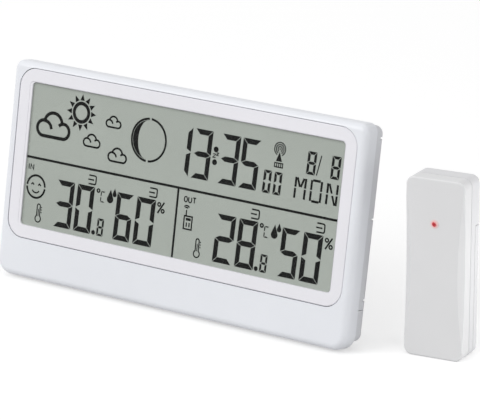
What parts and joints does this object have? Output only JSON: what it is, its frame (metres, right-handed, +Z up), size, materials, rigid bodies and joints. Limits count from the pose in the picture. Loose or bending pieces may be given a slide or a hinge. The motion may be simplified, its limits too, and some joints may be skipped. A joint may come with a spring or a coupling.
{
  "type": "home weather station",
  "caption": "Desktop weather station with a wide leaning display, rear keys, battery hump and fold-out leg, beside its separate upright outdoor sensor.",
  "frame": {"origin": "centre of the underside of the display unit's foot strip, on the surface it stands on", "axes": "+X to the right as seen from the front, along the longest side; the display faces -Y and leans back; +Z up"},
  "size_m": [0.2644, 0.0456, 0.1092],
  "materials": {
    "white_shell": "satin moulded ABS",
    "panel": "fine satin moulded ABS",
    "back_shell": "fine textured moulded ABS",
    "clear_window": "clear polished acrylic and glass",
    "lcd": "reflective liquid crystal cell",
    "reflector": "brushed reflector film",
    "inner_plastic": "black moulded plastic",
    "rubber": "soft rubber",
    "board": "green solder resist on glass epoxy",
    "epoxy": "black moulded epoxy",
    "steel": "zinc plated",
    "copper": "enamelled copper wire",
    "ferrite": "sintered ferrite",
    "cell": "printed sleeve, bare of text",
    "keys": "soft touch",
    "sensor_shell": "satin moulded ABS",
    "red_lens": "tinted lens",
    "control": "black moulded plastic"
  },
  "bodies": {
    "station": {"front_housing": "white_shell", "display_frame": "panel", "display_lens": "clear_window", "lcd_front_glass": "clear_window", "lcd_rear_glass": "lcd", "lcd_reflector": "reflector", "lcd_holder": "inner_plastic", "zebra_strip": "rubber", "main_board": "board", "board_screws": "steel", "board_chips": "epoxy", "clock_crystal": "steel", "buzzer": "inner_plastic", "room_sensor": "epoxy", "radio_board": "board", "receiver_aerial": "copper", "time_aerial_rod": "ferrite", "time_aerial_coil": "copper", "key_switches": "epoxy", "rear_housing": "back_shell", "lower_bar": "back_shell", "base_foot": "rubber", "housing_screws": "steel", "battery_cells": "cell", "battery_contacts": "steel", "stand_pin": "steel"},
    "battery_door": {"battery_door": "back_shell"},
    "stand_leg": {"stand_leg": "back_shell", "stand_pad": "rubber"},
    "sensor": {"sensor_front_shell": "sensor_shell", "sensor_lamp_lens": "red_lens", "sensor_lamp": "red_lens", "sensor_board": "board", "sensor_chips": "epoxy", "outdoor_probe": "epoxy", "sensor_aerial": "copper", "sensor_rear_shell": "sensor_shell", "sensor_screws": "steel", "sensor_cells": "cell", "sensor_contacts": "steel", "channel_switch_body": "inner_plastic", "send_switch": "epoxy"},
    "sensor_battery_door": {"sensor_battery_door": "sensor_shell"},
    "channel_slider": {"channel_slider": "control"},
    "send_button": {"send_button": "control"},
    "mode_key": {"mode_key": "keys"},
    "alarm_key": {"alarm_key": "keys"},
    "snooze_key": {"snooze_key": "keys"},
    "plus_key": {"plus_key": "keys"},
    "minus_key": {"minus_key": "keys"},
    "channel_key": {"channel_key": "keys"}
  },
  "joints": [
    {"name": "leg_hinge", "type": "hinge", "parent": "station", "child": "stand_leg", "pos_m": [0, 0.0178, 0.0513], "axis": [1, 0, 0], "range_deg": [-25.5, 0]},
    {"name": "battery_door_lift", "type": "slide", "parent": "station", "child": "battery_door", "axis": [0, 0.9851, -0.1719], "range_m": [0, 0.03]},
    {"name": "sensor_lift", "type": "slide", "parent": "station", "child": "sensor", "axis": [0, 0, 1], "range_m": [0, 0.12]},
    {"name": "sensor_door_lift", "type": "slide", "parent": "sensor", "child": "sensor_battery_door", "axis": [-0.1392, 0.9903, 0], "range_m": [0, 0.025]},
    {"name": "channel_slide", "type": "slide", "parent": "sensor", "child": "channel_slider", "axis": [0.9903, 0.1392, 0], "range_m": [-0.0018, 0.0018]},
    {"name": "send_press", "type": "slide", "parent": "sensor", "child": "send_button", "axis": [0.1392, -0.9903, 0], "range_m": [0, 0.0005], "stiffness_N_per_m": 600},
    {"name": "mode_press", "type": "slide", "parent": "station", "child": "mode_key", "axis": [0, -0.9851, 0.1719], "range_m": [0, 0.0008], "stiffness_N_per_m": 600},
    {"name": "alarm_press", "type": "slide", "parent": "station", "child": "alarm_key", "axis": [0, -0.9851, 0.1719], "range_m": [0, 0.0008], "stiffness_N_per_m": 600},
    {"name": "snooze_press", "type": "slide", "parent": "station", "child": "snooze_key", "axis": [0, -0.9851, 0.1719], "range_m": [0, 0.0008], "stiffness_N_per_m": 600},
    {"name": "plus_press", "type": "slide", "parent": "station", "child": "plus_key", "axis": [0, -0.9851, 0.1719], "range_m": [0, 0.0008], "stiffness_N_per_m": 600},
    {"name": "minus_press", "type": "slide", "parent": "station", "child": "minus_key", "axis": [0, -0.9851, 0.1719], "range_m": [0, 0.0008], "stiffness_N_per_m": 600},
    {"name": "channel_press", "type": "slide", "parent": "station", "child": "channel_key", "axis": [0, -0.9851, 0.1719], "range_m": [0, 0.0008], "stiffness_N_per_m": 600}
  ]
}
